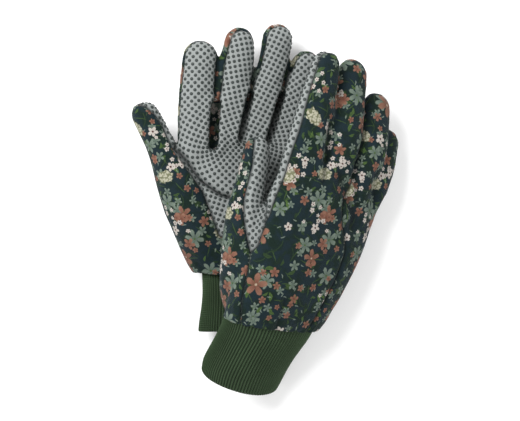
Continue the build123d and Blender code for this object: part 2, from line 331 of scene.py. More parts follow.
class GlovesColours(PropertyGroup):
    """Colours of the cloth, the print, the dots and the knit."""

    ground: colour_property("Ground", "Ground of the print", (0.01, 0.02, 0.025))
    shade: colour_property("Shade", "Dark green shapes behind the flowers", (0.008, 0.0175, 0.0135))
    leaf: colour_property("Leaf", "Leaves of the print", (0.05, 0.088, 0.024))
    mint: colour_property("Mint", "Thin star flowers", (0.19, 0.235, 0.19))
    deep_mint: colour_property("Deep mint", "Base of their petals", (0.08, 0.11, 0.088))
    coral: colour_property("Coral", "Round-petalled flowers", (0.25, 0.125, 0.085))
    deep_coral: colour_property("Deep coral", "Base of their petals", (0.13, 0.052, 0.036))
    cream_heart: colour_property("Cream heart", "Hearts of the large ones", (0.4, 0.33, 0.24))
    cream: colour_property("Cream", "Clustered blossom", (0.37, 0.36, 0.275))
    white: colour_property("White", "Small star flowers", (0.46, 0.42, 0.38))
    heart: colour_property("Heart", "Hearts of the small star flowers", (0.05, 0.012, 0.012))
    jersey: colour_property("Jersey", "Cloth under the grip dots", (0.295, 0.315, 0.308))
    dot: colour_property("Dot", "Grip dots", (0.014, 0.021, 0.019))
    knit: colour_property("Knit", "Rib knit", (0.003, 0.009, 0.003))
    # The lit colour is painted light on the crests of the ribs, against the knit's own dark colour.
    knit_light: colour_property("Knit, lit", "Crest of a rib", (0.042, 0.074, 0.034))


# ---------------------------------------------------------------- shapes of the hand


def unit(vector):
    vector = np.asarray(vector, float)
    return vector / np.linalg.norm(vector)


def smooth_through(points, count):
    """Rows of numbers along a smooth curve through the given rows."""
    points = np.asarray(points, float)
    padded = np.vstack([2 * points[0] - points[1], points, 2 * points[-1] - points[-2]])
    rows = []
    for place in np.linspace(0, len(points) - 1 - 1e-6, count):
        i, t = int(place), place - int(place)
        p0, p1, p2, p3 = padded[i : i + 4]
        bend = 2 * p0 - 5 * p1 + 4 * p2 - p3
        twist = 3 * p1 - p0 - 3 * p2 + p3
        rows.append(0.5 * (2 * p1 + (p2 - p0) * t + bend * t**2 + twist * t**3))
    return np.array(rows)


def across(way, roll):
    """Across the hand, square to the way a tube runs."""
    angle = math.radians(roll)
    side = np.array([math.cos(angle), 0, -math.sin(angle)])
    return unit(side - way * side.dot(way))


class Tube:
    """A tube of the glove: its centre line, with its directions and half sizes."""

    def __init__(self, glove, stations, domed, samples=48):
        rows = smooth_through(stations, samples)
        self.centres, self.halves = rows[:, :3], rows[:, 3:5]
        self.ways = np.array([unit(way) for way in np.gradient(self.centres, axis=0)])
        self.sides = np.array([across(way, glove["roll"]) for way in self.ways])
        self.palms = np.cross(self.sides, self.ways) * glove["palm_up"]
        steps = np.linalg.norm(np.diff(self.centres, axis=0), axis=1)
        self.lengths = np.concatenate([[0], np.cumsum(steps)])
        self.domed = domed

    def rings(self, power, sides=32):
        """Points round the tube, ring after ring, with a dome at the end of a finger."""
        turns = np.linspace(0, 2 * math.pi, sides, endpoint=False)
        across_part = np.sign(np.cos(turns)) * np.abs(np.cos(turns)) ** (2 / power)
        palm_part = np.sign(np.sin(turns)) * np.abs(np.sin(turns)) ** (2 / power)
        frames = list(zip(self.centres, self.sides, self.palms, self.halves))
        if self.domed:
            centre, side, palm, half = frames[-1]
            for angle in np.radians(DOME_ANGLES):
                end = centre + self.ways[-1] * half[0] * math.sin(angle)
                frames.append((end, side, palm, half * math.cos(angle)))
        return [
            c + np.outer(across_part * h[0], s) + np.outer(palm_part * h[1], p) for c, s, p, h in frames
        ]

    def measure(self, points):
        """For each point: its length along the tube, its place across and towards the palm, its
        distance from the tube's surface, and the half width there."""
        gaps = points[:, None, :] - self.centres[None]
        nearest = np.argmin((gaps**2).sum(axis=2), axis=1)
        gap = points - self.centres[nearest]
        along = (gap * self.ways[nearest]).sum(axis=1)
        aside = (gap * self.sides[nearest]).sum(axis=1)
        palmward = (gap * self.palms[nearest]).sum(axis=1)
        half = self.halves[nearest]
        past = np.where((nearest == 0) | (nearest == len(self.centres) - 1), along, 0)
        reach = np.sqrt((aside / half[:, 0]) ** 2 + (palmward / half[:, 1]) ** 2 + (past / half[:, 0]) ** 2)
        return self.lengths[nearest] + along, aside, palmward, (reach - 1) * half.min(axis=1), half[:, 0]


def add_tube(bm, rings):
    """Adds a closed tube through rings of points."""
    loops = [[bm.verts.new(point) for point in ring] for ring in rings]
    for low, high in zip(loops, loops[1:]):
        for k in range(len(low)):
            bm.faces.new((low[k - 1], low[k], high[k], high[k - 1]))
    bm.faces.new(reversed(loops[0]))
    bm.faces.new(loops[-1])


def new_object(name, mesh):
    obj = bpy.data.objects.new(name, mesh)
    bpy.context.collection.objects.link(obj)
    return obj


def applied(obj):
    """The object's mesh with its modifiers applied. The object itself is removed."""
    graph = bpy.context.evaluated_depsgraph_get()
    mesh = bpy.data.meshes.new_from_object(obj.evaluated_get(graph))
    old = obj.data
    bpy.data.objects.remove(obj)
    bpy.data.meshes.remove(old)
    return mesh


def filled_hand(tubes, cloth):
    """One closed skin round hand, fingers and thumb, as if a hand filled the glove."""
    bm = bmesh.new()
    for number, tube in enumerate(tubes):
        add_tube(bm, tube.rings(power=HAND_POWER if number == 0 else FINGER_POWER))
    bmesh.ops.recalc_face_normals(bm, faces=bm.faces)
    bmesh.ops.scale(bm, vec=(MM, MM, MM), verts=bm.verts)
    mesh = bpy.data.meshes.new("fill")
    bm.to_mesh(mesh)
    bm.free()
    fill = new_object("fill", mesh)
    remesh = fill.modifiers.new("skin", "REMESH")
    remesh.mode = "VOXEL"
    remesh.voxel_size = cloth.grid
    smooth = fill.modifiers.new("soften", "SMOOTH")
    smooth.factor, smooth.iterations = 0.5, 8
    return applied(fill)


# ---------------------------------------------------------------- where the panels meet


def inside_outline(points, outline):
    """How far each point is inside an outline, negative outside."""
    corners = np.asarray(outline, float)
    best, inside = np.full(len(points), 1e9), np.zeros(len(points), bool)
    for (x0, y0), (x1, y1) in zip(corners, np.roll(corners, -1, axis=0)):
        run = np.array([x1 - x0, y1 - y0])
        t = np.clip(((points - (x0, y0)) @ run) / run.dot(run), 0, 1)
        best = np.minimum(best, np.linalg.norm(points - np.outer(t, run) - (x0, y0), axis=1))
        crosses = (points[:, 1] < y0) != (points[:, 1] < y1)
        at = x0 + (points[:, 1] - y0) * (x1 - x0) / (y1 - y0 if y1 != y0 else 1)
        inside ^= crosses & (points[:, 0] < at)
    return np.where(inside, best, -best)


def near_line(points, line):
    """Distance of each point from a line of corners."""
    best = np.full(len(points), 1e9)
    for start, end in zip(np.asarray(line, float), np.asarray(line, float)[1:]):
        run = end - start
        t = np.clip(((points - start) @ run) / run.dot(run), 0, 1)
        best = np.minimum(best, np.linalg.norm(points - start - np.outer(t, run), axis=1))
    return best


def past_edge(aside, palmward, half, lifts):
    """How far each point is past the seam round the hand or a finger, towards the palm."""
    share = np.clip(0.5 + 0.5 * aside / half, 0, 1)
    return palmward - (lifts[0] * (1 - share) + lifts[1] * share)


def panel_fields(glove, tubes, points, normals):
    """Four numbers at each point, whose zero lines are the seams: palm from back, side panel from
    back, thumb from hand, and dotted thumb front from printed thumb back."""
    hand, fingers, thumb = tubes[0], tubes[1:5], tubes[5]
    length, aside, palmward, gap, half = hand.measure(points)
    places, *lifts = zip(*glove["edge_lift"])
    palm = [past_edge(aside, palmward, half, [np.interp(length, places, values) for values in lifts])]
    outer = [aside - np.interp(length, *zip(*glove["side_seam"]))]
    gaps = [gap]
    for number, finger in enumerate(fingers):
        _, aside, palmward, gap, half = finger.measure(points)
        palm.append(past_edge(aside, palmward, half, glove["seam_lift"][number]))
        outer.append(np.full(len(points), OUTER if number > 1 else -OUTER))
        gaps.append(gap)
    weights = np.array([np.exp(-np.maximum(gap, 0) / BLEND) for gap in gaps])
    total = weights.sum(axis=0)
    palm_field = (weights * palm).sum(axis=0) / total
    outer_field = (weights * outer).sum(axis=0) / total
    facing_up = np.clip((normals[:, 2] + 0.15) / 0.3, 0, 1)
    for line, half_width in glove["finger_gaps"]:
        outside = near_line(points[:, :2], line) - half_width + (1 - facing_up) * FAR
        palm_field = np.minimum(palm_field, outside)
    _, _, _, thumb_gap, half = thumb.measure(points)
    beneath = np.min(gaps, axis=0) - thumb_gap + UNDER_THUMB
    above = inside_outline(points[:, :2], glove["thumb_edge"])
    thumb_field = beneath * (1 - facing_up) + above * facing_up
    round_thumb = (normals * unit(glove["dotted_side"])).sum(axis=1) * half - 1.0
    dotted = inside_outline(points[:, :2], glove["dotted_edge"])
    dotted_field = round_thumb * (1 - facing_up) + dotted * facing_up
    return {"palm": palm_field, "outer": outer_field, "thumb": thumb_field, "dotted": dotted_field}


def cut_faces(bm, layer, allowed):
    """Cuts the allowed faces along the line where a layer of numbers is zero."""
    cut = set()
    edges = [
        e for e in bm.edges
        if (e.verts[0][layer] < 0) != (e.verts[1][layer] < 0) and any(allowed(f) for f in e.link_faces)
    ]
    for edge in edges:
        low, high = edge.verts
        if low in cut or high in cut:
            continue
        t = low[layer] / (low[layer] - high[layer])
        if SNAP < t < 1 - SNAP:
            continue
        near, far = (low, high) if t <= SNAP else (high, low)
        near.co = near.co.lerp(far.co, t if t <= SNAP else 1 - t)
        near[layer] = 0.0
        cut.add(near)
    for edge in edges:
        low, high = edge.verts
        if low in cut or high in cut:
            continue
        t = low[layer] / (low[layer] - high[layer])
        _, vert = bmesh.utils.edge_split(edge, low, t)
        vert[layer] = 0.0
        cut.add(vert)
    for face in [f for f in bm.faces if allowed(f)]:
        on_line = [v for v in face.verts if v in cut]
        if len(on_line) < 2:
            continue
        for a in on_line:
            beside = {e.other_vert(a) for e in a.link_edges} | {a}
            b = next((v for v in on_line if v not in beside), None)
            if b is not None:
                bmesh.utils.face_split(face, a, b)
                break


def cut_panels(bm, fields):
    """Cuts the skin along its seams and gives each face the number of its panel."""
    for name in fields:
        bm.verts.layers.float.new(name)
    layers = {name: bm.verts.layers.float[name] for name in fields}
    for name, values in fields.items():
        for vert, value in zip(bm.verts, values):
            vert[layers[name]] = value

    def mean(face, name):
        values = [v[layers[name]] for v in face.verts]
        return max(values, key=abs) if min(values) * max(values) < 0 else sum(values)

    cut_faces(bm, layers["thumb"], lambda f: True)
    cut_faces(bm, layers["palm"], lambda f: mean(f, "thumb") < 0)
    cut_faces(bm, layers["outer"], lambda f: mean(f, "thumb") < 0 and mean(f, "palm") < 0)
    cut_faces(bm, layers["dotted"], lambda f: mean(f, "thumb") >= 0)
    for face in bm.faces:
        if mean(face, "thumb") >= 0:
            face.material_index = THUMB_FRONT if mean(face, "dotted") >= 0 else THUMB_BACK
        elif mean(face, "palm") >= 0:
            face.material_index = PALM
        else:
            face.material_index = SIDE if mean(face, "outer") >= 0 else BACK


def drop_islands(bm):
    """Gives small stray islands of a panel to the panel around them, and drops a bubble that touches
    no panel. Returns how many there were."""
    seen, islands, biggest = set(), [], {}
    for face in bm.faces:
        if face in seen:
            continue
        island, stack = [], [face]
        seen.add(face)
        while stack:
            current = stack.pop()
            island.append(current)
            for edge in current.edges:
                for other in edge.link_faces:
                    if other not in seen and other.material_index == face.material_index:
                        seen.add(other)
                        stack.append(other)
        islands.append(island)
        kind = face.material_index
        if len(island) > len(biggest.get(kind, ())):
            biggest[kind] = island
    settled = {face for island in biggest.values() for face in island}
    for island in islands:
        kind = island[0].material_index
        if island is biggest[kind]:
            continue
        beside = {o for f in island for e in f.edges for o in e.link_faces} & settled
        around = [face.material_index for face in beside if face.material_index != kind]
        if around:
            new_kind = max(sorted(set(around)), key=around.count)
            for face in island:
                face.material_index = new_kind
        elif not beside:
            bmesh.ops.delete(bm, geom=island, context="FACES")
    return len(islands) - len(biggest)


def seam_name(edge):
    """The seam that an edge of the skin lies on, or None within a panel."""
    panels = {face.material_index for face in edge.link_faces}
    if len(edge.link_faces) == 1:
        return "cuff_seam"
    if len(panels) != 2:
        return None
    if panels & THUMB:
        return "thumb_seam"
    return "finger_seam" if PALM in panels else "side_seam"


def bell(offset):
    """1 at no offset, falling to nothing at about 2."""
    return math.exp(-(offset**2))


def sink_seams(bm, glove, cloth):
    """Draws the cloth in along its seams, with small puckers, and folds it where it creases. A painted
    shade is kept at each point, for the colour: a dark line in each seam's groove, and darkening in the
    folds."""
    shade_layer = bm.verts.layers.float.new("painted_seam_shade")
    bm.normal_update()
    verts = list(bm.verts)
    points = np.array([v.co for v in verts]) / MM
    normals = np.array([v.normal for v in verts])
    on_seam = {v for e in bm.edges if seam_name(e) not in (None, "cuff_seam") for v in e.verts}
    tree = KDTree(len(on_seam))
    for index, vert in enumerate(on_seam):
        tree.insert(vert.co, index)
    tree.balance()
    depth, width = cloth.groove, cloth.groove_width
    wrist, way = np.array(glove["wrist"][0], float), unit(glove["wrist"][1])
    side = across(way, glove["roll"])
    palm = np.cross(side, way)
    past_wrist = (points - wrist) @ way
    turn = np.arctan2((points - wrist) @ palm * ROUNDER, (points - wrist) @ side)
    sink, shade = np.zeros(len(verts)), np.zeros(len(verts))
    up = np.clip(normals[:, 2] / 0.4, 0, 1)
    for line, fold, spread in glove["creases"]:
        gap = near_line(points[:, :2], line) / spread
        bulge = CREASE_BULGE * np.exp(-((gap - BULGE_AT) ** 2))
        sink += up * fold * MM * (np.exp(-(gap**2)) - bulge)
        # Painted shade in the folds, only on cloth that faces up.
        shade = np.maximum(shade, up * min(fold, 2.0) * 0.4 * np.exp(-((gap / 0.6) ** 2)))
    for index, vert in enumerate(verts):
        _, _, gap = tree.find(vert.co)
        ripple = noise.noise(vert.co / PUCKER)
        seam = bell(gap / width) * depth * (1 + 0.35 * ripple)
        shoulder = bell((gap - SHOULDER_AT * width) / (SHOULDER_WIDTH * width)) * depth
        soft = sum(noise.noise(vert.co / size + spot) * high for size, high, spot in SOFT_WAVES)
        fold = turn[index] * GATHERS + 5 * noise.noise(vert.co / GATHER_DRIFT)
        gather = math.exp(-max(past_wrist[index], 0) / GATHER_REACH) * math.sin(fold) * GATHER_DEPTH
        sink[index] += seam - shoulder * (0.3 + 0.5 * ripple) - soft - gather
        # Painted shade: the dark line in the seam's groove, or the fold's painted shade where that is
        # darker.
        vert[shade_layer] = max(shade[index], bell(gap / SEAM_SHADE))
    for index, vert in enumerate(verts):
        vert.co -= vert.normal * float(sink[index])
    free = [v for v in verts if v not in on_seam]
    bmesh.ops.smooth_vert(bm, verts=free, factor=0.3, use_axis_x=True, use_axis_y=True, use_axis_z=True)


def chained(edges):
    """The vertices of the edges, in chains that run on from one to the next."""
    left = set(edges)
    chains = []
    while left:
        chain = list(left.pop().verts)
        for _ in range(2):
            chain.reverse()
            while True:
                more = next((e for e in chain[-1].link_edges if e in left), None)
                if more is None:
                    break
                left.discard(more)
                chain.append(more.other_vert(chain[-1]))
        chains.append(chain)
    return chains


def seam_lines(bm):
    """The lines of each seam, just inside the cloth, by the name of the seam."""
    kinds = {name: [] for name in SEAMS}
    for edge in bm.edges:
        name = seam_name(edge)
        if name:
            kinds[name].append(edge)
    lines = {}
    for name, edges in kinds.items():
        thinned = [chain[::2] + [chain[-1]] for chain in chained(edges)]
        inside = [[v.co - v.normal * SEAM_INSIDE * MM for v in chain] for chain in thinned]
        lines[name] = [line for line in inside if len(line) > 4]
    return lines


def place(points):
    """Millimetres of the layout to metres of the pair's own frame."""
    return (np.asarray(points, float) + ORIGIN) * MM


def panel_object(bm, kind, name):
    """One panel cut out of the skin, as its own object."""
    piece = bm.copy()
    bmesh.ops.delete(piece, geom=[f for f in piece.faces if f.material_index != kind], context="FACES")
    for face in piece.faces:
        face.material_index = 0
        face.smooth = True
    mesh = bpy.data.meshes.new(name)
    piece.to_mesh(mesh)
    piece.free()
    return new_object(name, mesh)


def turned(flat, angle):
    """Flat points turned round the origin."""
    turn = [[math.cos(angle), -math.sin(angle)], [math.sin(angle), math.cos(angle)]]
    return flat @ np.array(turn).T


def read(items, name, width, kind=float):
    """One named value of all the items of a mesh, as rows."""
    values = np.zeros(len(items) * width, kind)
    items.foreach_get(name, values)
    return values.reshape(-1, width)


def lay_flat(obj, way):
    """Gives the panel a flat pattern: a UV map in metres, with the way along the hand upright.
    Returns the smallest rectangle that the pattern is cut from, and its area. A curved pattern is
    nested with others, so it takes up less width."""
    bpy.ops.object.select_all(action="DESELECT")
    bpy.context.view_layer.objects.active = obj
    obj.select_set(True)
    obj.data.uv_layers.new(name="cloth")
    bpy.ops.object.mode_set(mode="EDIT")
    bpy.ops.mesh.select_all(action="SELECT")
    bpy.ops.uv.unwrap(method="MINIMUM_STRETCH", iterations=UNWRAP_ROUNDS, margin=0)
    bpy.ops.object.mode_set(mode="OBJECT")
    mesh = obj.data
    layer = mesh.uv_layers["cloth"].data
    uv = read(layer, "uv", 2)
    corner = read(mesh.loops, "vertex_index", 1, int)[:, 0]
    along = (read(mesh.vertices, "co", 3) @ np.asarray(way))[corner]
    area = sum(p.area for p in mesh.polygons)
    flat = 0.0
    for polygon in mesh.polygons:
        p = uv[polygon.loop_start : polygon.loop_start + polygon.loop_total]
        q = np.roll(p, -1, axis=0)
        flat += 0.5 * abs((p[:, 0] * q[:, 1] - p[:, 1] * q[:, 0]).sum())
    uv = (uv - uv.mean(axis=0)) * math.sqrt(area / flat)
    slope = np.linalg.lstsq(np.column_stack([uv, np.ones(len(uv))]), along, rcond=None)[0]
    uv = turned(uv, math.atan2(slope[0], slope[1]))
    layer.foreach_set("uv", uv.astype(np.float32).ravel())
    boxes = [np.ptp(turned(uv, angle), axis=0).tolist() for angle in np.radians(range(0, -90, -5))]
    width, length = sorted(min(boxes, key=math.prod))
    return (min(width, area / length / LEAST_FILL), length), area


def sew(glove, cloth):
    """Makes the five panels of one glove. Returns them and the lines of their seams."""
    tubes = [Tube(glove, glove["hand"], False)]
    tubes += [Tube(glove, stations, True) for stations in glove["fingers"]]
    tubes.append(Tube(glove, glove["thumb"], True))
    mesh = filled_hand(tubes, cloth)
    bm = bmesh.new()
    bm.from_mesh(mesh)
    bpy.data.meshes.remove(mesh)
    wrist, way = glove["wrist"]
    skin = [*bm.verts, *bm.edges, *bm.faces]
    bmesh.ops.bisect_plane(
        bm, geom=skin, plane_co=Vector(wrist) * MM, plane_no=Vector(way), clear_inner=True
    )
    bm.normal_update()
    points = np.array([v.co for v in bm.verts]) / MM
    normals = np.array([v.normal for v in bm.verts])
    cut_panels(bm, panel_fields(glove, tubes, points, normals))
    for _ in range(ISLAND_ROUNDS):
        if drop_islands(bm) == 0:
            break
    sink_seams(bm, glove, cloth)
    for vert in bm.verts:
        vert.co += Vector(ORIGIN * MM)
        vert.co.z = max(vert.co.z, TABLE * MM)
    bm.normal_update()
    seams = seam_lines(bm)
    panels = {}
    for kind, part in PANELS.items():
        obj = panel_object(bm, kind, f"{glove['name']}_{part}_cloth")
        panels[kind] = obj, *lay_flat(obj, unit(way))
    bm.free()
    return panels, seams


def thicken(obj, thickness):
    """Gives a panel the thickness of its cloth, inwards."""
    solid = obj.modifiers.new("cloth thickness", "SOLIDIFY")
    solid.thickness, solid.offset = thickness, -1


# ---------------------------------------------------------------- node helpers


class Nodes:
    """Short ways to add and link shader nodes."""

    def __init__(self, tree):
        self.tree = tree

    def put(self, socket, value):
        if isinstance(value, bpy.types.NodeSocket):
            self.tree.links.new(value, socket)
        else:
            socket.default_value = value

    def add(self, kind, inputs=None, **settings):
        node = self.tree.nodes.new(kind)
        for key, value in settings.items():
            setattr(node, key, value)
        for key, value in (inputs or {}).items():
            self.put(node.inputs[key], value)
        return node

    def math(self, operation, *values, clamp=False):
        inputs = dict(enumerate(values))
        return self.add("ShaderNodeMath", inputs, operation=operation, use_clamp=clamp).outputs[0]

    def times(self, a, b, clamp=False):
        return self.math("MULTIPLY", a, b, clamp=clamp)

    def line(self, value, start, slope):
        """The start plus the slope times the value."""
        return self.math("ADD", start, self.times(value, slope))

    def above(self, value, limit, slope):
        """0 up to where the value passes the limit, then up to 1, the steeper the slope the sooner."""
        return self.times(self.math("SUBTRACT", value, limit), slope, clamp=True)

    def sine(self, value, per_unit):
        return self.math("SINE", self.times(value, per_unit))

    def size(self, value):
        return self.math("ABSOLUTE", value)

    def vector(self, operation, *values, output=0):
        inputs = dict(enumerate(values))
        return self.add("ShaderNodeVectorMath", inputs, operation=operation).outputs[output]

    def joined(self, x, y, z):
        return self.add("ShaderNodeCombineXYZ", {"X": x, "Y": y, "Z": z}).outputs[0]

    def parts(self, vector):
        return self.add("ShaderNodeSeparateXYZ", {"Vector": vector}).outputs

    def noise(self, vector, scale, detail=2.0, roughness=0.5, output="Fac"):
        inputs = {"Vector": vector, "Scale": scale, "Detail": detail, "Roughness": roughness}
        return self.add("ShaderNodeTexNoise", inputs).outputs[output]

    def shaken(self, vector, scale, reach):
        """The place moved to and fro over the reach, along the cloth."""
        wobble = self.vector("SUBTRACT", self.noise(vector, scale, output="Color"), (0.5, 0.5, 0.5))
        return self.vector("ADD", vector, self.vector("MULTIPLY", wobble, (reach, reach, 0.0)))

    def mix(self, factor, low, high, blend="MIX"):
        node = self.add("ShaderNodeMix", {0: factor}, data_type="RGBA", blend_type=blend)
        for index, colour in ((6, low), (7, high)):
            linked = isinstance(colour, bpy.types.NodeSocket)
            self.put(node.inputs[index], colour if linked else (*colour[:3], 1))
        return node.outputs[2]

    def toned(self, colour, grey):
        """The colour times a grey."""
        grey = self.add("ShaderNodeCombineColor", {"Red": grey, "Green": grey, "Blue": grey}).outputs[0]
        return self.mix(1.0, colour, grey, "MULTIPLY")

    def group(self, name, inputs):
        return self.add("ShaderNodeGroup", inputs, node_tree=bpy.data.node_groups[name]).outputs

    def object_place(self):
        return self.add("ShaderNodeTexCoord").outputs["Object"]

    def cloth_place(self):
        return self.add("ShaderNodeUVMap", uv_map="cloth").outputs[0]


def new_group(name, vectors, numbers, outputs):
    """An empty node group with named sockets. Returns its nodes, its inputs and its output node."""
    tree = bpy.data.node_groups.new(name, "ShaderNodeTree")
    for label in vectors:
        tree.interface.new_socket(label, in_out="INPUT", socket_type="NodeSocketVector")
    for label, value in numbers.items():
        socket = tree.interface.new_socket(label, in_out="INPUT", socket_type="NodeSocketFloat")
        socket.default_value = value
    for label in outputs:
        tree.interface.new_socket(label, in_out="OUTPUT", socket_type="NodeSocketFloat")
    nodes = Nodes(tree)
    return nodes, nodes.add("NodeGroupInput").outputs, nodes.add("NodeGroupOutput").inputs


def scatter_cells(nodes, given):
    """One point in each cell of the cloth: the place seen from it and turned at random, three random
    numbers, and where the point is on the cloth."""
    cell = nodes.joined(given["Cell"], given["Cell"], 1.0)
    moved = nodes.vector("ADD", nodes.vector("DIVIDE", given["Vector"], cell), given["Offset"])
    inputs = {"Vector": moved, "Scale": 1.0, "Randomness": given["Scatter"]}
    cells = nodes.add("ShaderNodeTexVoronoi", inputs, voronoi_dimensions="2D", feature="F1").outputs
    random = nodes.add("ShaderNodeSeparateColor", {"Color": cells["Color"]}).outputs
    inputs = {
        "Vector": nodes.vector("SUBTRACT", moved, cells["Position"]),
        "Angle": nodes.times(random[0], 2 * math.pi),
    }
    seen = nodes.add("ShaderNodeVectorRotate", inputs, rotation_type="Z_AXIS").outputs[0]
    inputs = {0: nodes.vector("SUBTRACT", cells["Position"], given["Offset"]), "Scale": given["Cell"]}
    centre = nodes.add("ShaderNodeVectorMath", inputs, operation="SCALE").outputs[0]
    return seen, random, centre


def flower_group():
    """Flowers scattered over the cloth."""
    numbers = {
        "Cell": 0.02, "Scatter": 0.5, "Size": 0.2, "Petals": 5.0, "Fullness": 0.6, "Depth": 0.6,
        "Heart": 0.3, "Coverage": 0.8, "Stretch": 1.0, "Gather": 0.0,
    }
    outputs = ("Petals", "Heart", "Shade")
    nodes, given, out = new_group("Scattered flowers", ("Vector", "Offset"), numbers, outputs)
    seen, random, centre = scatter_cells(nodes, given)
    spot = nodes.vector("MULTIPLY", seen, nodes.joined(1.0, given["Stretch"], 1.0))
    axes = nodes.parts(spot)
    angle = nodes.math("ARCTAN2", axes[1], axes[0])
    wave = nodes.size(nodes.math("COSINE", nodes.times(angle, nodes.times(given["Petals"], 0.5))))
    petal = nodes.math("POWER", wave, given["Fullness"])
    edge = nodes.line(petal, nodes.math("SUBTRACT", 1.0, given["Depth"]), given["Depth"])
    size = nodes.times(given["Size"], nodes.line(random[1], 0.8, 0.4))
    radius = nodes.math("DIVIDE", nodes.vector("LENGTH", spot, output=1), size)
    patch = nodes.math("GREATER_THAN", nodes.noise(centre, 34.0, 0.0), given["Gather"])
    there = nodes.times(nodes.math("LESS_THAN", random[2], given["Coverage"]), patch)
    nodes.put(out["Petals"], nodes.times(nodes.above(edge, radius, 9.0), there))
    nodes.put(out["Heart"], nodes.times(nodes.above(given["Heart"], radius, 9.0), there))
    nodes.put(out["Shade"], nodes.math("MINIMUM", radius, 1.0))


def leaf_group():
    """Bent leaves scattered over the cloth, each with a rib."""
    numbers = {"Cell": 0.014, "Scatter": 0.7, "Length": 0.3, "Width": 0.1, "Coverage": 0.8}
    outputs = ("Leaf", "Rib", "Random")
    nodes, given, out = new_group("Scattered leaves", ("Vector", "Offset"), numbers, outputs)
    seen, random, _ = scatter_cells(nodes, given)
    axes = nodes.parts(seen)
    along = nodes.math("DIVIDE", axes[0], given["Length"])
    square = nodes.times(along, along)
    bent = nodes.line(square, axes[1], nodes.times(given["Width"], 0.8))
    aside = nodes.size(nodes.math("DIVIDE", bent, given["Width"]))
    leaf = nodes.above(nodes.math("SUBTRACT", 1.0, square), aside, 6.0)
    rib = nodes.above(0.16, aside, 8.0)
    there = nodes.math("LESS_THAN", random[2], given["Coverage"])
    nodes.put(out["Leaf"], nodes.times(leaf, there))
    nodes.put(out["Rib"], nodes.times(nodes.times(rib, leaf), there))
    nodes.put(out["Random"], random[1])


def jersey_group():
    """Fine jersey knit: small loops in columns, and a fuzzy surface."""
    nodes, given, out = new_group("Jersey knit", ("Vector",), {"Loop": 0.0009}, ("Height", "Fleck"))
    axes = nodes.parts(given["Vector"])
    column = nodes.math("DIVIDE", axes[0], given["Loop"])
    row = nodes.math("DIVIDE", axes[1], given["Loop"])
    slant = nodes.size(nodes.sine(column, math.pi))
    loops = nodes.sine(nodes.line(slant, row, 0.5), 2 * math.pi)
    height = nodes.math("ADD", nodes.times(slant, 0.6), nodes.times(loops, 0.25))
    fuzz = nodes.noise(given["Vector"], 2600.0, 3.0, 0.7)
    nodes.put(out["Height"], nodes.math("ADD", height, fuzz))
    nodes.put(out["Fleck"], nodes.noise(given["Vector"], 1500.0, 4.0, 0.75))


def scaled(colour, share):
    """A lighter or a darker colour."""
    return tuple(part * share for part in colour)


def new_material(name):
    """A new material's nodes and its shader."""
    material = bpy.data.materials.new(name)
    material.use_nodes = True
    return Nodes(material.node_tree), material.node_tree.nodes["Principled BSDF"]


def set_sheen(shader, specular, weight, roughness, tint):
    """Dull cloth with a little fuzz that catches the light."""
    shader.inputs["Specular IOR Level"].default_value = specular
    shader.inputs["Sheen Weight"].default_value = weight
    shader.inputs["Sheen Roughness"].default_value = roughness
    shader.inputs["Sheen Tint"].default_value = (*tint, 1)


def coat(nodes, shader, colour, roughness, height, distance, strength=1.0):
    """Links a colour, a roughness and a height to the shader."""
    nodes.put(shader.inputs["Base Color"], colour)
    nodes.put(shader.inputs["Roughness"], roughness)
    bump = nodes.add("ShaderNodeBump", {"Height": height, "Distance": distance, "Strength": strength})
    nodes.put(shader.inputs["Normal"], bump.outputs[0])


def with_painted_shade(nodes, colour, depth):
    """The colour darkened by a painted shade in the grooves of the seams and in the folds, as far as the
    depth lets it.
    """
    shade = nodes.add("ShaderNodeAttribute", attribute_name="painted_seam_shade").outputs["Fac"]
    return nodes.mix(nodes.times(shade, depth, clamp=True), colour, PAINTED_SHADE_COLOUR)


def leaf_print(nodes, colours, spot, uv):
    """The dark ground with its leaves, stems and sprigs."""

    def leaves(cell, offset, length, width, coverage):
        return nodes.group("Scattered leaves", {
            "Vector": spot, "Cell": cell, "Offset": (*offset, 0.0), "Length": length, "Width": width,
            "Coverage": coverage})

    patches = nodes.above(nodes.noise(uv, 90.0, 4.0, 0.6), 0.47, 8.0)
    colour = nodes.mix(patches, colours.ground, colours.shade)
    dark = leaves(0.012, (3.1, 7.7), 0.45, 0.2, 0.8)
    colour = nodes.mix(nodes.times(dark["Leaf"], 0.8), colour, colours.shade)
    colour = nodes.mix(nodes.times(dark["Rib"], 0.35), colour, colours.leaf)
    stems = leaves(0.011, (9.4, 1.3), 0.5, 0.035, 0.6)
    colour = nodes.mix(nodes.times(stems["Leaf"], 0.6), colour, colours.leaf)
    for shape in ((0.0105, (0.2, 5.5), 0.36, 0.13, 0.5), (0.0085, (6.3, 2.9), 0.3, 0.11, 0.4)):
        leaf = leaves(*shape)
        green = nodes.mix(leaf["Random"], colours.shade, scaled(colours.leaf, 1.25))
        colour = nodes.mix(leaf["Leaf"], colour, green)
        colour = nodes.mix(nodes.times(leaf["Rib"], 0.6), colour, colours.shade)
    sprigs = leaves(0.006, (4.8, 8.2), 0.3, 0.07, 0.3)
    return nodes.mix(nodes.times(sprigs["Leaf"], 0.7), colour, colours.mint)


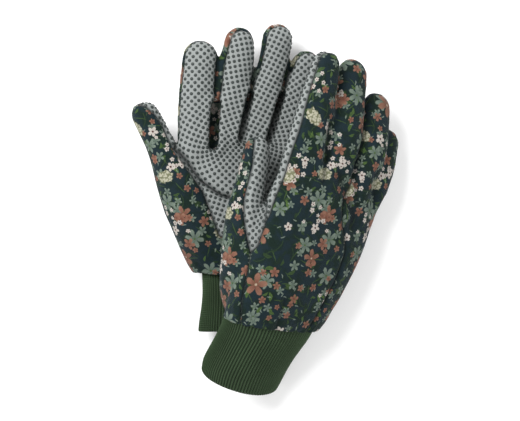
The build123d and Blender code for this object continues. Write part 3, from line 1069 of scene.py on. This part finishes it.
def flower_print(nodes, colours, colour, spot, uv):
    """Flowers in three colours over the leaves, then heads of many small florets over them."""

    def flowers(cell, offset, size, petals, fullness, depth, heart, coverage, gather=0.0, **more):
        return nodes.group("Scattered flowers", {
            "Vector": spot, "Cell": cell, "Offset": (*offset, 0.0), "Size": size, "Petals": petals,
            "Fullness": fullness, "Depth": depth, "Heart": heart, "Coverage": coverage,
            "Gather": gather, "Scatter": 0.6, **more})

    for *shape, petal, heart, base, own in FLOWERS:
        bloom = flowers(*shape)
        tone = nodes.mix(nodes.times(bloom["Shade"], own), getattr(colours, base), getattr(colours, petal))
        colour = nodes.mix(nodes.times(bloom["Petals"], 0.92), colour, tone)
        colour = nodes.mix(bloom["Heart"], colour, getattr(colours, heart))
    ragged = nodes.shaken(uv, 420.0, 0.0045)
    heads = flowers(0.034, (6.1, 1.9), 0.13, 7, 0.3, 0.2, 0.0, 0.5, Stretch=0.72, Vector=ragged)
    florets = flowers(0.0019, (0.0, 0.0), 0.52, 4, 0.5, 0.5, 0.14, 0.95, Scatter=0.8, Vector=uv)
    between = nodes.mix(nodes.noise(uv, 240.0, 1.0), BLOSSOM_SHADE, BLOSSOM_GREEN)
    blossom = nodes.mix(florets["Petals"], between, colours.cream)
    return nodes.mix(heads["Petals"], colour, blossom)


def printed_cloth(colours):
    """Dark jersey printed all over with small flowers and leaves."""
    nodes, shader = new_material("printed_cloth")
    uv = nodes.cloth_place()
    spot = nodes.shaken(uv, 700.0, 0.0014)
    colour = leaf_print(nodes, colours, spot, uv)
    colour = flower_print(nodes, colours, colour, spot, uv)
    knit = nodes.group("Jersey knit", {"Vector": uv})
    colour = nodes.toned(colour, nodes.line(knit["Fleck"], 0.3, 1.4))
    # Painted shade in the seams and the folds.
    colour = with_painted_shade(nodes, colour, 0.75)
    coat(nodes, shader, colour, nodes.line(knit["Fleck"], 0.82, 0.12), knit["Height"], 0.00022)
    set_sheen(shader, 0.12, 0.12, 0.2, (0.6, 0.68, 0.7))


def dotted_cloth(colours):
    """Pale jersey that carries the grip dots."""
    nodes, shader = new_material("dotted_cloth")
    uv = nodes.cloth_place()
    knit = nodes.group("Jersey knit", {"Vector": uv})
    worn = nodes.times(nodes.noise(uv, 60.0, 3.0), 0.5)
    colour = nodes.mix(worn, colours.jersey, scaled(colours.jersey, 0.72))
    colour = nodes.toned(colour, nodes.line(knit["Fleck"], 0.62, 0.7))
    # Painted shade in the seams and the folds.
    colour = with_painted_shade(nodes, colour, 0.9)
    coat(nodes, shader, colour, nodes.line(knit["Fleck"], 0.85, 0.1), knit["Height"], 0.00025)
    set_sheen(shader, 0.25, 0.15, 0.25, (0.95, 0.97, 1.0))


def grip_vinyl(colours):
    """Soft matt vinyl of the grip dots."""
    nodes, shader = new_material("grip_vinyl")
    grain = nodes.noise(nodes.object_place(), 900.0, 3.0)
    colour = nodes.mix(grain, scaled(colours.dot, 0.75), scaled(colours.dot, 1.5))
    coat(nodes, shader, colour, nodes.line(grain, 0.42, 0.2), grain, 0.0001, 0.5)


def ribbed_knit(colours):
    """Rib knit: painted light on the crests, painted shade in the grooves, and small loops up each rib."""
    nodes, shader = new_material("ribbed_knit")
    axes = nodes.parts(nodes.cloth_place())
    crest = nodes.size(nodes.sine(axes[0], math.pi))
    aside = nodes.size(nodes.math("SUBTRACT", nodes.math("FRACT", axes[0]), 0.5))
    step = nodes.line(aside, nodes.math("DIVIDE", axes[1], 0.0013), 1.3)
    loops = nodes.line(nodes.sine(step, 2 * math.pi), 0.5, 0.5)
    coords = nodes.object_place()
    fuzz = nodes.noise(coords, 2200.0, 3.0, 0.7)
    raised = nodes.math("ADD", nodes.times(crest, 0.8), nodes.times(loops, 0.25))
    # Painted light on the raised crests and painted shade in the grooves, with fuzz.
    light = nodes.times(raised, nodes.math("ADD", 0.4, fuzz), clamp=True)
    colour = nodes.mix(light, colours.knit, colours.knit_light)
    colour = nodes.toned(colour, nodes.line(nodes.noise(coords, 60.0), 0.8, 0.4))
    coat(nodes, shader, colour, nodes.line(fuzz, 0.8, 0.15), nodes.math("ADD", loops, fuzz), 0.00025)
    set_sheen(shader, 0.25, 0.12, 0.25, (0.5, 0.62, 0.42))


def overlock_thread(colours):
    """Twisted thread of the overlocked seams."""
    nodes, shader = new_material("overlock_thread")
    inputs = {"Vector": nodes.object_place(), "Scale": 700.0, "Distortion": 3.0}
    wave = nodes.add("ShaderNodeTexWave", inputs).outputs["Fac"]
    colour = nodes.mix(wave, colours.knit, colours.jersey)
    coat(nodes, shader, colour, nodes.line(wave, 0.75, 0.15), wave, 0.0003)


GROUPS = (flower_group, leaf_group, jersey_group)
FINISHES = (printed_cloth, dotted_cloth, grip_vinyl, ribbed_knit, overlock_thread)


def finish_of(name):
    """A finish by name. All of them are made the first time that one is asked for."""
    if name not in bpy.data.materials:
        for make_group in GROUPS:
            make_group()
        for make in FINISHES:
            make(bpy.context.scene.gloves_colours)
    return bpy.data.materials[name]


# ---------------------------------------------------------------- operators


def body_of(glove):
    return f"{glove['name']}_glove"


def sew_glove(glove):
    """Makes one glove's panels. Returns the lines of the seams inside them."""
    cloth = bpy.context.scene.gloves_cloth
    panels, seams = sew(glove, cloth)
    for kind, (obj, flat, area) in panels.items():
        thicken(obj, cloth.thickness)
        obj.data.materials.append(finish_of("dotted_cloth" if kind in DOTTED else "printed_cloth"))
        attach(obj, body_of(glove))
        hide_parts(f"{glove['name']}_{PANELS[kind]}")
    return seams


class GLOVES_OT_hand(Operator):
    """Sew the printed and dotted panels of one glove"""

    bl_idname = "gloves.hand"
    bl_label = "Hand Panels"

    number: IntProperty(
        name="Glove", description="0 for the left glove, 1 for the right one", default=0, min=0, max=1
    )

    def execute(self, context):
        glove = GLOVES[self.number]
        SEAM_LINES[glove["name"]] = sew_glove(glove)
        return {"FINISHED"}


def cuff_profile(rows, thick):
    """Rows down the outside of the doubled knit, round the rim and back up the inside: a station, its
    share of the way to the rim, how far inwards it is, and the length of knit up to it."""
    steps = np.linalg.norm(np.diff(rows[:, :3], axis=0), axis=1)
    lengths = np.concatenate([[0], np.cumsum(steps)])
    last = len(rows) - 1
    profile = [(row, index / last, 0.0, lengths[index]) for index, row in enumerate(rows)]
    for angle in np.radians((30, 60, 90, 120, 150)):
        drop = thick / 2 * math.sin(angle)
        inward = thick / 2 * (1 - math.cos(angle))
        row = rows[-1].copy()
        row[:3] += unit(rows[-1][:3] - rows[-3][:3]) * drop
        profile.append((row, 1.0, inward, lengths[-1] + drop + inward))
    for index in range(last, -1, -2):
        profile.append((rows[index], index / last, thick, 2 * lengths[-1] - lengths[index] + thick))
    return profile


def cuff_ring(glove, settings, turns, row, share, inward):
    """The points round a cuff at one station, with its ribs, in the pair's own frame."""
    way = unit(unit(glove["wrist"][1]) * (1 - share) + unit(glove["rim"]) * share)
    side = across(way, glove["roll"])
    up = np.cross(side, way)
    crest = 0.5 + 0.5 * np.cos(turns * settings.ribs)
    outside = inward <= settings.thickness / MM * 0.6
    rib = (1 if outside else -1) * (crest - 1) * settings.rib_depth / MM
    swell = 0.25 * math.sin(share * 9) + 0.35 * np.sin(turns * 3 + share * 4)
    power = HAND_POWER * (1 - share) + RIM_POWER * share
    full = (np.abs(np.cos(turns)) ** power + np.abs(np.sin(turns)) ** power) ** (-1 / power)
    points = row[:3] + np.outer(np.cos(turns) * full * (row[3] - inward + rib + swell), side)
    points += np.outer(np.sin(turns) * full * (row[4] - inward + rib + swell), up)
    placed = place(points)
    placed[:, 2] = np.maximum(placed[:, 2], (TABLE + inward) * MM)
    return placed


def cuff_mesh(glove, settings):
    """The doubled rib knit, from under the hand's edge over the rim and back inside. Its flat map
    counts ribs across and metres along."""
    profile = cuff_profile(smooth_through(glove["cuff"], CUFF_ROWS), settings.thickness / MM)
    columns = settings.ribs * RIB_COLUMNS
    turns = np.linspace(0, 2 * math.pi, columns, endpoint=False)
    bm = bmesh.new()
    loops = []
    for row, share, inward, _ in profile:
        ring = cuff_ring(glove, settings, turns, row, share, inward)
        loops.append([bm.verts.new(point) for point in ring])
    layer = bm.loops.layers.uv.new("cloth")
    for low, high, (*_, v0), (*_, v1) in zip(loops, loops[1:], profile, profile[1:]):
        for k in range(columns):
            face = bm.faces.new((low[k - 1], low[k], high[k], high[k - 1]))
            u0, u1 = (k - 1) / RIB_COLUMNS, k / RIB_COLUMNS
            for loop, (u, v) in zip(face.loops, ((u0, v0), (u1, v0), (u1, v1), (u0, v1))):
                loop[layer].uv = (u + 0.5, v * MM)
    outer, inner = loops[0], loops[-1]
    for k in range(columns):
        bm.faces.new((inner[k - 1], inner[k], outer[k], outer[k - 1]))
    bmesh.ops.recalc_face_normals(bm, faces=bm.faces)
    mesh = bpy.data.meshes.new("cuff")
    bm.to_mesh(mesh)
    bm.free()
    mesh.shade_smooth()
    return mesh


class GLOVES_OT_cuffs(Operator):
    """Knit the two ribbed cuffs"""

    bl_idname = "gloves.cuffs"
    bl_label = "Rib-Knit Cuffs"

    def execute(self, context):
        for glove in GLOVES:
            mesh = cuff_mesh(glove, context.scene.gloves_cuff)
            cuff = new_object(f"{glove['name']}_cuff_knit", mesh)
            cuff.data.materials.append(finish_of("ribbed_knit"))
            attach(cuff, body_of(glove))
            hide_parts(f"{glove['name']}_cuff")
        return {"FINISHED"}


class GLOVES_OT_seams(Operator):
    """Run the overlocked seams round the inside of the gloves"""

    bl_idname = "gloves.seams"
    bl_label = "Overlocked Seams"

    def execute(self, context):
        for glove in GLOVES:
            for name, chains in SEAM_LINES[glove["name"]].items():
                curve = bpy.data.curves.new(name, "CURVE")
                curve.dimensions = "3D"
                curve.bevel_depth = context.scene.gloves_cloth.seam_thread
                curve.bevel_resolution = 1
                for chain in chains:
                    spline = curve.splines.new("POLY")
                    spline.points.add(len(chain) - 1)
                    for point, co in zip(spline.points, chain):
                        point.co = (*co, 1.0)
                thread = new_object(f"{glove['name']}_{name}_thread", curve)
                curve.materials.append(finish_of("overlock_thread"))
                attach(thread, body_of(glove))
                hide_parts(f"{glove['name']}_{name}")
        return {"FINISHED"}


def dome(settings):
    """Points of one dot, ring by ring from its foot, then its top, with its faces."""
    radius, height, sides = settings.width / 2, settings.height, settings.sides
    points, faces = [], []
    for share, rise in DOME:
        for turn in np.linspace(0, 2 * math.pi, sides, endpoint=False):
            reach = radius * share
            points.append((reach * math.cos(turn), reach * math.sin(turn), height * rise))
    top = len(points)
    points.append((0, 0, height))
    for a in range(top - sides):
        b = a + 1 if (a + 1) % sides else a + 1 - sides
        faces.append((a, b, b + sides, a + sides))
    faces += [(top - sides + k, top - sides + (k + 1) % sides, top) for k in range(sides)]
    return np.array(points), faces


def dot_mesh(cloth, settings):
    """Domes in diagonal rows over the flat pattern of a panel, set on its outer face."""
    cloth.calc_loop_triangles()
    layer = cloth.uv_layers["cloth"].data
    flat, corners = [], []
    for triangle in cloth.loop_triangles:
        flat.extend(Vector((*layer[i].uv, 0.0)) for i in triangle.loops)
        corners.append([cloth.vertices[i] for i in triangle.vertices])
    tree = BVHTree.FromPolygons(flat, [(3 * k, 3 * k + 1, 3 * k + 2) for k in range(len(corners))])
    low = [min(p[k] for p in flat) for k in (0, 1)]
    high = [max(p[k] for p in flat) for k in (0, 1)]
    step = settings.spacing / math.sqrt(2)
    down = Vector((0, 0, -1))
    edge = settings.width * DOT_EDGE
    points, faces = dome(settings)
    all_points, all_faces = [], []
    for row in range(int((high[1] - low[1]) / step) + 1):
        for column in range(int((high[0] - low[0]) / step / 2) + 1):
            spot = Vector((low[0] + (2 * column + row % 2) * step, low[1] + row * step, 1.0))
            around = [spot + Vector(d) * edge for d in ((1, 0, 0), (-1, 0, 0), (0, 1, 0), (0, -1, 0))]
            if any(tree.ray_cast(p, down)[0] is None for p in around):
                continue
            hit, _, index, _ = tree.ray_cast(spot, down)
            if hit is None:
                continue
            triangle = flat[3 * index : 3 * index + 3]
            middle = barycentric_transform(hit, *triangle, *(v.co for v in corners[index]))
            normal = barycentric_transform(hit, *triangle, *(v.normal for v in corners[index])).normalized()
            turn = np.array(normal.to_track_quat("Z", "Y").to_matrix())
            first = len(all_points)
            all_faces.extend(tuple(first + i for i in face) for face in faces)
            all_points.extend(points @ turn.T + np.array(middle))
    mesh = bpy.data.meshes.new("dots")
    mesh.from_pydata([tuple(p) for p in all_points], [], all_faces)
    mesh.shade_smooth()
    return mesh


class GLOVES_OT_dots(Operator):
    """Print the raised grip dots on the palms and thumbs"""

    bl_idname = "gloves.dots"
    bl_label = "Grip Dots"

    def execute(self, context):
        settings = context.scene.gloves_dots
        for glove in GLOVES:
            for kind in DOTTED:
                part = f"{glove['name']}_{PANELS[kind]}"
                cloth = bpy.data.objects[f"{part}_cloth"].data
                dots = new_object(f"{part}_dots", dot_mesh(cloth, settings))
                dots.data.materials.append(finish_of("grip_vinyl"))
                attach(dots, body_of(glove))
        return {"FINISHED"}


def paper():
    """Plain pale paper of the floor."""
    nodes, shader = new_material("paper")
    grain = nodes.noise(nodes.object_place(), 400.0)
    nodes.put(shader.inputs["Base Color"], nodes.mix(grain, (0.87, 0.87, 0.87), (0.89, 0.89, 0.89)))
    nodes.put(shader.inputs["Roughness"], nodes.line(grain, 0.8, 0.1))
    shader.inputs["Emission Color"].default_value = (1, 1, 1, 1)
    shader.inputs["Emission Strength"].default_value = PAPER_GLOW
    return bpy.data.materials["paper"]


def area_light(name, spot, size, power):
    """A round light that looks at the middle of the pair."""
    light = bpy.data.lights.new(name, "AREA")
    light.shape, light.size, light.energy = "DISK", size, power
    obj = new_object(name, light)
    obj.location = spot
    obj.rotation_euler = (-Vector(spot)).to_track_quat("-Z", "Y").to_euler()


class GLOVES_OT_stage(Operator):
    """Set up the floor, the lights and the camera"""

    bl_idname = "gloves.stage"
    bl_label = "Stage"

    def execute(self, context):
        scene = context.scene
        mesh = bpy.data.meshes.new("floor")
        corners = [(x * FLOOR_HALF, y * FLOOR_HALF, 0) for x, y in ((-1, -1), (1, -1), (1, 1), (-1, 1))]
        mesh.from_pydata(corners, [], [(0, 1, 2, 3)])
        floor = new_object("floor", mesh)
        mesh.materials.append(paper())
        for light in LIGHTS:
            area_light(*light)
        world = bpy.data.worlds.new("studio")
        world.use_nodes = True
        sky = world.node_tree.nodes["Background"].inputs
        sky["Color"].default_value = (1, 1, 1, 1)
        sky["Strength"].default_value = SKY
        scene.world = world
        scene.view_settings.view_transform = "Standard"
        camera = bpy.data.cameras.new("camera")
        camera.sensor_width, camera.lens = SENSOR, LENS
        eye = new_object("camera", camera)
        eye.location = (ORIGIN[0] * MM, ORIGIN[1] * MM, CAMERA_HEIGHT)
        scene.camera = eye
        return {"FINISHED"}


class GLOVES_PT_panel(Panel):
    """Lists the sizes, the colours and the pieces"""

    bl_label = "Gardening Gloves"
    bl_idname = "GLOVES_PT_panel"
    bl_space_type = "VIEW_3D"
    bl_region_type = "UI"
    bl_category = "Gloves"

    def draw(self, context):
        layout = self.layout
        for operator in OPERATORS:
            layout.operator(operator.bl_idname)
        for name, group in SETTINGS.items():
            box = layout.box()
            settings = getattr(context.scene, name)
            for prop in group.__annotations__:
                box.prop(settings, prop)


SETTINGS = {
    "gloves_cloth": GlovesCloth,
    "gloves_dots": GlovesDots,
    "gloves_cuff": GlovesCuff,
    "gloves_colours": GlovesColours,
}
OPERATORS = (GLOVES_OT_hand, GLOVES_OT_cuffs, GLOVES_OT_seams, GLOVES_OT_dots, GLOVES_OT_stage)


def register():
    for cls in (*SETTINGS.values(), *OPERATORS, GLOVES_PT_panel):
        bpy.utils.register_class(cls)
    for name, group in SETTINGS.items():
        setattr(bpy.types.Scene, name, PointerProperty(type=group))


def unregister():
    for name in SETTINGS:
        delattr(bpy.types.Scene, name)
    for cls in reversed((*SETTINGS.values(), *OPERATORS, GLOVES_PT_panel)):
        bpy.utils.unregister_class(cls)


def main():
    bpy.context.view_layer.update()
    register()
    for number in range(len(GLOVES)):
        bpy.ops.gloves.hand(number=number)
    bpy.ops.gloves.cuffs()
    bpy.ops.gloves.seams()
    bpy.ops.gloves.dots()
    bpy.ops.gloves.stage()


if __name__ == "__main__":
    main()
